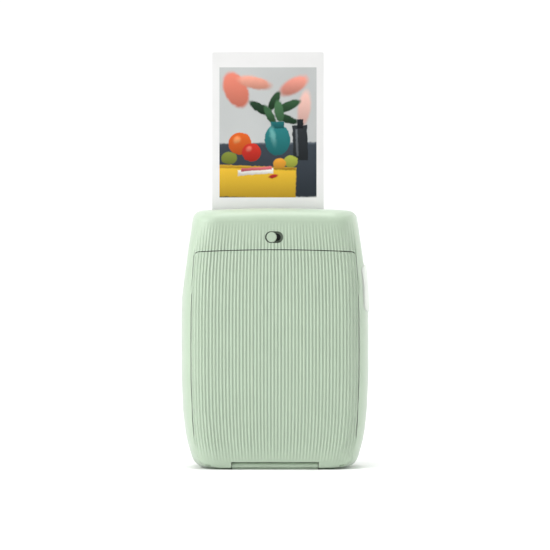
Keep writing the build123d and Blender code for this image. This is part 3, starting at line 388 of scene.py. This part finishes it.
def shape_distance(across, up, kind, half_width, half_height, turn):
    """About how far a place lies outside a shape's edge, in millimetres."""
    swing = math.radians(turn)
    right = across * math.cos(swing) + up * math.sin(swing)
    above = up * math.cos(swing) - across * math.sin(swing)
    if kind == "oval":
        far = (right * right) / half_width ** 2 + (above * above) / half_height ** 2
        return (far.maths("SQRT") - 1.0) * min(half_width, half_height)
    beside = right.maths("ABSOLUTE") - half_width
    over = above.maths("ABSOLUTE") - half_height
    return beside.maths("MAXIMUM", over)


def photograph(name, middle):
    """A glossy instant photograph of the still life."""
    material, shader, place = start_material(name)
    waver = (place.noise(0.5, detail=3.0) - 0.5) * 1.2
    across = along(place, "X") - middle[0] + waver
    up = along(place, "Z") - middle[2] + waver
    light = place.noise(0.03, detail=1.0)
    colour = light.colours(shaded(wall_colour, 0.82), shaded(wall_colour, 1.12))
    for kind, x, z, half_width, half_height, turn, hexes, softness in still_life:
        edge = shape_distance(across - x, up - z, kind, half_width, half_height, turn)
        inside = 1.0 - edge.step(-softness, softness)
        flat = tint(hexes)
        shading = ((up - z) / (2 * half_height) + 0.5).clamp()
        body = shading.colours(shaded(flat, 0.62), shaded(flat, 1.15))
        colour = inside.colours(colour, body)
    grain = place.noise(6.0, detail=2.0)
    colour = grain.node("ShaderNodeMix", {"data_type": "RGBA", "blend_type": "SOFT_LIGHT"},
                        {0: 0.12, 6: colour, 7: grain}, output=2)
    feed(shader, "Base Color", colour)
    feed(shader, "Roughness", (place.noise(0.4) - 0.5) * 0.06 + 0.16)
    feed(shader, "Coat Weight", 0.25)
    return material


picture_low, picture_high = box_mm("print_picture")
picture_middle = [(a + b) / 2 for a, b in zip(picture_low, picture_high)]
print("picture", [round(b - a, 1) for a, b in zip(picture_low, picture_high)], "mm")

# %% [markdown]
# ## Which piece has which finish
# The record names a slot for each piece, and each slot gets one finish here. Pieces of one slot
# share a material, as real pieces share a batch of plastic.

# %% Finishes by slot
# The walls and floor of the latch recess get a painted shade: its middle across and up, half its
# width and
#  height, and how far back its rim and its floor lie.
knob_low, knob_high = box_mm("latch_knob")
recess_middle, recess_half_width, recess_half_height, recess_depth = -0.43, 4.34, 2.79, 2.0
latch_recess_shade = (recess_middle, (knob_low[2] + knob_high[2]) / 2, recess_half_width,
                recess_half_height, knob_low[1], knob_low[1] + recess_depth)
print("latch recess", latch_recess_shade)
sage = tint("B7C9B3")
finishes = {
    # The casing gets a painted sheen at its turned edges and a painted shade in the latch recess.
    "casing_plastic": moulded_plastic("sage_casing", sage, roughness=0.42, painted_sheen=tint("BDC5BC"),
                                      painted_recess_shade=latch_recess_shade),
    "knob_plastic": moulded_plastic("sage_knob", sage, roughness=0.38),
    "button_plastic": moulded_plastic("grey_button", tint("D2D8D0"), roughness=0.4),
    "dark_plastic": moulded_plastic("black_works", tint("26282A"), roughness=0.5, mottle=0.12),
    "cassette_plastic": moulded_plastic("black_cassette", tint("1B1C1E"), roughness=0.38,
                                        mottle=0.1),
    "gear_plastic": moulded_plastic("ivory_gears", tint("E6E1D3"), roughness=0.35, mottle=0.04),
    "bearing_plastic": moulded_plastic("ivory_bearings", tint("D9D2BE"), roughness=0.35),
    "chips": moulded_plastic("black_chips", tint("202224"), roughness=0.55, mottle=0.1),
    "battery_wrap": moulded_plastic("silver_wrap", tint("A8ADB2"), roughness=0.3, mottle=0.06),
    "spring_steel": drawn_steel("spring_steel", tint("B9BBBC"), lines=(9.0, 9.0, 0.4)),
    "steel": drawn_steel("ground_steel", tint("B4B5B4")),
    "connector_steel": drawn_steel("connector_steel", tint("C2C3C1"), roughness=0.22),
    "brass": drawn_steel("turned_brass", tint("D0AE62"), lines=(6.0, 1.0, 1.0)),
    "roller_rubber": rubber("roller_rubber", tint("2A2A2C")),
    "print_paper": coated_paper("print_paper", tint("EEEEED")),
    "film_paper": coated_paper("film_paper", tint("2B2B2D"), roughness=0.4),
    "lens_glass": clear_rods("lens_rods", tint("3A4144")),
    "board": circuit_board("circuit_board", tint("1F5B3A")),
    "picture_layer": photograph("still_life_print", picture_middle),
}

for row in frame["record"]["subparts"]:
    node = frame["nodes"][row["node"]]
    node.data.materials.clear()
    node.data.materials.append(finishes[row["material_slot"]])
print("finishes:", len(finishes))

# %% [markdown]
# ## The pillow form
# The printer's body is a pillow: it swells towards the middle and draws in towards foot and roof.
# The frame holds it as flat bands between stations, which is right for the works but shows as
# facets. Here the same stations are joined by a smooth curve that keeps every station and never
# overshoots between them.

# %% Stations of the body
half_body_width, _, body_height = box_mm("rear_casing")[1]
body_width = 2 * half_body_width
body_depth = 2 * box_mm("front_casing")[1][1]
corner_radius = 12.5
roof_round = 7.0
skin_tolerance = 0.06
# height, width and depth as shares of the body's own
body_stations = np.array((
    (0.0, 0.762, 0.800), (0.013, 0.835, 0.875), (0.035, 0.882, 0.918), (0.07, 0.913, 0.940),
    (0.13, 0.953, 0.960), (0.24, 0.986, 0.985), (0.40, 1.0, 1.0), (0.56, 1.0, 1.0),
    (0.70, 0.989, 0.990), (0.80, 0.963, 0.975), (0.90, 0.918, 0.958), (1.02, 0.847, 0.935),
))


def smooth_share(heights, column):
    """Share of the width or depth at heights, on a smooth curve through the stations."""
    place = np.clip(np.asarray(heights) / body_height, 0, body_stations[-1, 0])
    knots, values = body_stations[:, 0], body_stations[:, column]
    rise = np.diff(values) / np.diff(knots)
    slopes = np.zeros_like(values)
    same = rise[:-1] * rise[1:] > 0
    slopes[1:-1][same] = 2 * rise[:-1][same] * rise[1:][same] / (rise[:-1] + rise[1:])[same]
    slopes[0], slopes[-1] = rise[0], rise[-1]
    at = np.clip(np.searchsorted(knots, place) - 1, 0, len(knots) - 2)
    span = np.diff(knots)[at]
    t = (place - knots[at]) / span
    return ((1 + 2 * t) * (1 - t) ** 2 * values[at] + t * (1 - t) ** 2 * span * slopes[at]
            + t * t * (3 - 2 * t) * values[at + 1] + t * t * (t - 1) * span * slopes[at + 1])


def flat_share(heights, column):
    """The same share on the flat bands of the frame."""
    place = np.asarray(heights) / body_height
    return np.interp(place, body_stations[:, 0], body_stations[:, column])


widest = float(body_width * smooth_share([50.0], 1)[0])
print("widest", round(widest, 2), "mm")

# %% [markdown]
# ## Ribs
# The film door and the panel above it carry fifty upright reeds, like a roller shutter. They follow
# the swell of the body, so they lie a little closer together near foot and roof. Their law is
# simple: a rib keeps its share of the reach at every height. So the mesh is first spread until
# the ribs are straight, cut by upright planes, and then drawn back in.

# %% The ribs' law
ribs = 50
rib_reach = 0.888
rib_narrowing = 0.75
edge_squeeze = 0.035
squeeze_limit = 1.3
ribbed_front = -8.0
rib_depth = 0.44
cuts_per_rib = 6
fade_foot = (1.5, 14.0)
fade_roof = (100.0, 123.5)


def reach_at(heights):
    """How far the ribbed field reaches from the middle at a height."""
    share = smooth_share(heights, 1)
    return body_width / 2 * rib_reach * (1 - rib_narrowing * (1 - share))


def spread(x, z):
    """Place across as a share of the ribbed field, 1 at its edge."""
    wanted = np.abs(x) * (1 - edge_squeeze) / reach_at(z)
    share = wanted.copy()
    for _ in range(12):
        share = wanted + edge_squeeze * np.minimum(share, squeeze_limit) ** 5
    return np.sign(x) * share


def draw_back(share, z):
    """The place across of a share of the ribbed field: spread, the other way round."""
    size = np.abs(share)
    drawn = (size - edge_squeeze * np.minimum(size, squeeze_limit) ** 5) / (1 - edge_squeeze)
    return np.sign(share) * reach_at(z) * drawn


def smooth_step(value, start, end):
    t = np.clip((value - start) / (end - start), 0, 1)
    return t * t * (3 - 2 * t)


def rib_sink(share, z):
    """How deep the surface lies below the crest of the ribs."""
    phase = share * (ribs / 2)
    groove = (0.5 + 0.5 * np.cos(2 * math.pi * phase)) ** 1.15
    inside = 1 - smooth_step(np.abs(share), 1.0, 1.004)
    upright = smooth_step(z, *fade_foot) * (1 - smooth_step(z, *fade_roof))
    return rib_depth * groove * inside * upright


middle_pitch = float(draw_back(np.array([2 / ribs]), np.array([50.0]))[0])
print("ribs", ribs, "pitch in the middle", round(middle_pitch, 3), "mm")


# %% [markdown]
# ## Shaping the shell pieces
# A shell piece starts as a merged copy of its CAD node, so every hole, lip and boss stays exactly
# where the works need it. Level planes cut its outer skin where the form bends, and on the door
# side the rib planes cut it again. Then only the points that lie on the outer skin move: out to
# the smooth form, and in at the grooves. The rest of the piece is not touched.

# %% Reading and writing a mesh as arrays
def points_of(mesh):
    return np.array([v.co for v in mesh.verts], float).reshape(-1, 3)


def move_points(mesh, points):
    for vertex, point in zip(mesh.verts, points):
        vertex.co = point


def merged_copy(node):
    """The CAD node's mesh in millimetres, with its loose triangles joined."""
    mesh = bmesh.new()
    mesh.from_mesh(frame["nodes"][node].data)
    bmesh.ops.scale(mesh, vec=(1 / MM,) * 3, verts=mesh.verts)
    bmesh.ops.remove_doubles(mesh, verts=mesh.verts, dist=0.0005)
    bmesh.ops.dissolve_limit(mesh, angle_limit=math.radians(0.3), verts=mesh.verts,
                             edges=mesh.edges)
    return mesh


def on_skin(points):
    """True for the points that lie on the outer skin of the flat-banded form."""
    x, y, z = points.T
    width = body_width / 2 * flat_share(z, 1)
    depth = body_depth / 2 * flat_share(z, 2)
    beside = np.maximum(np.abs(x) - (width - corner_radius), 0)
    behind = np.maximum(np.abs(y) - (depth - corner_radius), 0)
    out = np.hypot(beside, behind)
    roof_edge = body_depth / 2 * float(flat_share([body_height - roof_round], 2)[0])
    over = np.maximum(z - (body_height - roof_round), 0)
    past = np.maximum(np.abs(y) - (roof_edge - roof_round), 0)
    at_roof = (over > 0) & (np.hypot(over, past) > roof_round - skin_tolerance) & (past > 0)
    return (out > corner_radius - skin_tolerance) | at_roof


# %% Cutting planes
def above_foot(mesh, foot):
    """The faces of a mesh whose middle lies above the foot, with their edges and points."""
    faces = [face for face in mesh.faces if face.calc_center_median().z > foot]
    edges = {edge for face in faces for edge in face.edges}
    verts = {vert for face in faces for vert in face.verts}
    return list(verts) + list(edges) + faces


def slice_mesh(mesh, places, axis, foot=None):
    """Cuts a mesh, or the part of it above the foot, by planes across an axis."""
    normal = Vector([1.0 if i == axis else 0.0 for i in range(3)])
    for place in places:
        geometry = mesh.verts[:] + mesh.edges[:] + mesh.faces[:]
        if foot is not None:
            geometry = above_foot(mesh, foot)
        bmesh.ops.bisect_plane(mesh, geom=geometry, dist=1e-5, plane_co=normal * place,
                               plane_no=normal)


def finish_mesh(mesh, name, slot, body, replaced, crease=28.0):
    """Turns a mesh in millimetres into a piece that rides on its body in its node's place."""
    for face in mesh.faces:
        face.smooth = True
    for edge in mesh.edges:
        edge.smooth = len(edge.link_faces) != 2 or edge.calc_face_angle(0) < math.radians(crease)
    bmesh.ops.scale(mesh, vec=(MM,) * 3, verts=mesh.verts)
    data = bpy.data.meshes.new(name)
    mesh.to_mesh(data)
    mesh.free()
    piece = placed(name, data)
    data.materials.append(finishes[slot])
    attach(piece, body)
    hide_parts(replaced)
    print(name, "faces", len(data.polygons))


print("shell tools ready")

# %% [markdown]
# ## Film door, rear casing and front casing
# The door and the rear casing share one ribbed field, so they are cut by the same planes, and the
# ribs run on from the door to the panel above it without a break.

# %% The roof's rim
roof_corner = 3.5
roof_arch_radius = 600.0
rim_cuts_across = np.arange(24.0, 40.0, 1.0)
rim_cuts_deep = np.arange(4.0, 18.0, 1.0)
rim_foot = 112.0
door_top_band = (101.0, 104.0)
door_side_band = (30.0, 33.0)


def round_roof(points):
    """Rounds the rim of the roof evenly, also around its four corners."""
    x, y, z = points.T
    beside = np.maximum(np.abs(x) - (body_width / 2 * smooth_share(z, 1) - corner_radius), 0)
    behind = np.maximum(np.abs(y) - (body_depth / 2 * smooth_share(z, 2) - corner_radius), 0)
    out = np.hypot(beside, behind)
    near = (out > 0) & (z > rim_foot)
    way = np.stack([np.sign(x) * beside, np.sign(y) * behind], 1) / np.maximum(out, 1e-6)[:, None]
    bend = np.hypot(roof_corner * way[:, 0], roof_round * way[:, 1])
    inward = corner_radius - out
    below = body_height - x * x / (2 * roof_arch_radius) - z
    across, up = bend - inward, bend - below
    reach = np.hypot(across, up)
    hit = near & (across > 0) & (up > 0) & (reach > bend)
    share = np.where(hit, 1 - bend / np.maximum(reach, 1e-6), 0)
    rounded = points.copy()
    rounded[:, :2] -= way * (across * share)[:, None]
    rounded[:, 2] -= up * share
    return rounded


print("roof rim cuts", len(rim_cuts_across), len(rim_cuts_deep))

# %% Shaping one shell piece
level_cuts = np.concatenate([
    np.arange(0.5, 6.0, 0.5), np.arange(6.0, 18.0, 1.5), np.arange(18.0, 100.0, 5.0),
    np.arange(100.0, 117.0, 2.5), np.arange(117.0, 125.4, 0.6)])
rib_cuts = np.linspace(-1, 1, ribs * cuts_per_rib + 1)


def shape_shell(node, ribbed):
    """A copy of the node, its outer skin marked and cut fine enough to be shaped."""
    mesh = merged_copy(node)
    skin = mesh.faces.layers.int.new("skin")
    hit = on_skin(points_of(mesh))
    mesh.verts.index_update()
    for face in mesh.faces:
        face[skin] = int(all(hit[v.index] for v in face.verts))
    slice_mesh(mesh, level_cuts, 2)
    if node != "film_door":
        for axis, cuts in ((0, rim_cuts_across), (1, rim_cuts_deep)):
            slice_mesh(mesh, np.concatenate([-cuts, cuts]), axis, rim_foot)
    if ribbed:
        points = points_of(mesh)
        warped = points.copy()
        warped[:, 0] = spread(points[:, 0], points[:, 2])
        move_points(mesh, warped)
        slice_mesh(mesh, rib_cuts, 0)
        points = points_of(mesh)
        points[:, 0] = draw_back(points[:, 0], points[:, 2])
        move_points(mesh, points)
    return mesh, skin


def fit_skin(mesh, skin, ribbed, side_grow, top_drop):
    """Moves the points of the outer skin to the smooth form and sinks the grooves."""
    mesh.verts.index_update()
    outer = np.zeros(len(mesh.verts), bool)
    for face in mesh.faces:
        if face[skin]:
            for vertex in face.verts:
                outer[vertex.index] = True
    points = points_of(mesh)
    x, y, z = points.T
    wide = smooth_share(z, 1) / flat_share(z, 1)
    deep = smooth_share(z, 2) / flat_share(z, 2)
    moved = np.stack([x * wide, y * deep, z], 1)
    if ribbed:
        sink = rib_sink(spread(moved[:, 0], z), z) * (y < ribbed_front)
        width = body_width / 2 * smooth_share(z, 1)
        beside = np.clip(np.abs(moved[:, 0]) - (width - corner_radius), 0, corner_radius)
        lean = np.arcsin(beside / corner_radius)
        moved[:, 0] -= np.sign(moved[:, 0]) * np.sin(lean) * sink
        moved[:, 1] += np.cos(lean) * sink
    points[outer] = moved[outer]
    points = round_roof(points)
    points[:, 2] -= top_drop * smooth_step(points[:, 2], *door_top_band)
    beside = smooth_step(np.abs(points[:, 0]), *door_side_band)
    points[:, 0] += side_grow * np.sign(points[:, 0]) * beside
    move_points(mesh, points)


print("level cuts", len(level_cuts), "rib cuts", len(rib_cuts))

# %% The three shell pieces
# The frame leaves running room beside the door. The real door closes that room to a hair line, and
# shows a wider one over its top edge.
for node, name, body, ribbed, side_grow, top_drop in (
    ("film_door", "ribbed_film_door", "door", True, 0.26, 0.13),
    ("rear_casing", "ribbed_rear_casing", "casing", True, 0.0, 0.0),
    ("front_casing", "smooth_front_casing", "casing", False, 0.0, 0.0),
):
    mesh, skin = shape_shell(node, ribbed)
    fit_skin(mesh, skin, ribbed, side_grow, top_drop)
    finish_mesh(mesh, name, "casing_plastic", body, node)

# %% [markdown]
# ## The print
# The sheet is a copy of its CAD node with its picture drawn a little larger, as the photo shows it.
# Its foot, which the rollers hold, stays where it is.

# %% The sheet and its picture
sheet_low, sheet_high = box_mm("instant_print")
picture_grown = 0.47
drop_at_top, drop_at_picture_top, drop_at_picture_foot = 0.7, 1.1, 2.0
heights = (sheet_low[2], picture_low[2], picture_high[2], sheet_high[2])
new_heights = (sheet_low[2], picture_low[2] - drop_at_picture_foot,
               picture_high[2] - drop_at_picture_top, sheet_high[2] - drop_at_top)
sides = (sheet_low[0], picture_low[0], picture_high[0], sheet_high[0])
new_sides = (sheet_low[0], picture_low[0] - picture_grown, picture_high[0] + picture_grown,
             sheet_high[0])

for node, name, slot in (("instant_print", "instant_sheet", "print_paper"),
                         ("print_picture", "picture_area", "picture_layer")):
    mesh = merged_copy(node)
    points = points_of(mesh)
    points[:, 0] = np.interp(points[:, 0], sides, new_sides)
    points[:, 2] = np.interp(points[:, 2], heights, new_heights)
    move_points(mesh, points)
    finish_mesh(mesh, name, slot, "print", node)

# %% [markdown]
# ## Softened edges
# Moulded and punched pieces never have perfectly sharp edges. A weld and a narrow bevel on each CAD
#  node that is still shown, apart from the finest ones, let its edges catch the light, and leave
#  its own mesh as it is.

# %% Soft edges on the works
fine_nodes = {"roller_gears", "pinch_gear", "gear_1", "gear_2", "motor_pinion", "pack_springs",
              "print_picture", "instant_print", "film_stack"}


def soften(piece, width):
    weld = piece.modifiers.new("join_triangles", "WELD")
    weld.merge_threshold = 0.002 * MM
    bevel = piece.modifiers.new("soft_edges", "BEVEL")
    bevel.width = width * MM
    bevel.segments = 2
    bevel.limit_method = "ANGLE"
    bevel.angle_limit = math.radians(35)
    bevel.use_clamp_overlap = True
    bevel.harden_normals = True


softened = 0
for name, piece in frame["nodes"].items():
    if name not in fine_nodes and not piece.hide_render:
        soften(piece, 0.15)
        softened += 1
print("softened", softened, "nodes")

# %% [markdown]
# ## Floor and light
# The photo is a studio shot on white. A pale floor that runs up into a backdrop gives the same
# even ground. A near soft light on the left draws the fine light and dark lines of the ribs. Two
# lights from above open up the roof, and the others lift the right side, the edges and the ground.

# %% Floor and backdrop
floor_front, floor_back, floor_side = -3000.0, 1400.0, 3000.0
backdrop_bend, backdrop_top = 500.0, 3000.0


def studio_sweep():
    """A floor that bends up into a backdrop: one line drawn across the studio."""
    mesh = bmesh.new()
    line = [mesh.verts.new((-floor_side, y, z)) for y, z in (
        (floor_front, 0.0), (floor_back, 0.0), (floor_back, backdrop_top))]
    for pair in zip(line, line[1:]):
        mesh.edges.new(pair)
    bmesh.ops.bevel(mesh, geom=[line[1]], offset=backdrop_bend, segments=16, profile=0.5,
                    affect="VERTICES", material=-1)
    made = bmesh.ops.extrude_edge_only(mesh, edges=mesh.edges[:])["geom"]
    bmesh.ops.translate(mesh, vec=(2 * floor_side, 0, 0),
                        verts=[v for v in made if isinstance(v, bmesh.types.BMVert)])
    bmesh.ops.recalc_face_normals(mesh, faces=mesh.faces)
    bmesh.ops.scale(mesh, vec=(MM,) * 3, verts=mesh.verts)
    for face in mesh.faces:
        face.smooth = True
    data = bpy.data.meshes.new("studio_sweep")
    mesh.to_mesh(data)
    mesh.free()
    sweep = placed("studio_sweep", data)
    material, shader, place = start_material("studio_white")
    cloud = place.noise(0.002, detail=2.0)
    feed(shader, "Base Color", cloud.ramp([(0.3, (0.9, 0.9, 0.9, 1)),
                                           (0.7, (0.92, 0.92, 0.92, 1))]))
    feed(shader, "Roughness", 0.8)
    data.materials.append(material)


studio_sweep()


# %% Lights and surround
def soft_light(name, place, aim, size, power):
    light = bpy.data.lights.new(name, "AREA")
    light.shape = "RECTANGLE"
    light.size, light.size_y = size[0] * MM, size[1] * MM
    light.energy = power
    lamp = placed(name, light)
    lamp.location = Vector(place) * MM
    lamp.rotation_euler = ((Vector(aim) - Vector(place)).to_track_quat("-Z", "Y")).to_euler()


aim = (0, 0, 90)
soft_light("key_light", (-640, -330, 400), aim, (300, 480), 3.75)
soft_light("high_light", (-600, -900, 900), aim, (600, 600), 2.7)
soft_light("side_light", (1200, 0, 350), aim, (500, 900), 6.4)
soft_light("roof_light", (0, -200, 1100), aim, (500, 400), 6.6)
soft_light("left_rim_light", (-900, 750, 350), aim, (500, 900), 1.8)
soft_light("right_rim_light", (900, 750, 350), aim, (500, 900), 3.9)
soft_light("floor_light", (0, 450, 1200), (0, 250, 0), (1600, 1200), 6.0)
soft_light("backdrop_light", (0, 500, 1300), (0, 1600, 600), (1800, 500), 8.4)

world = bpy.data.worlds.new("white_surround")
world.use_nodes = True
surround = world.node_tree.nodes["Background"]
surround.inputs["Color"].default_value = (1, 1, 1, 1)
surround.inputs["Strength"].default_value = 0.06
bpy.context.scene.world = world
bpy.context.scene.view_settings.view_transform = "Standard"
print("lights ready")
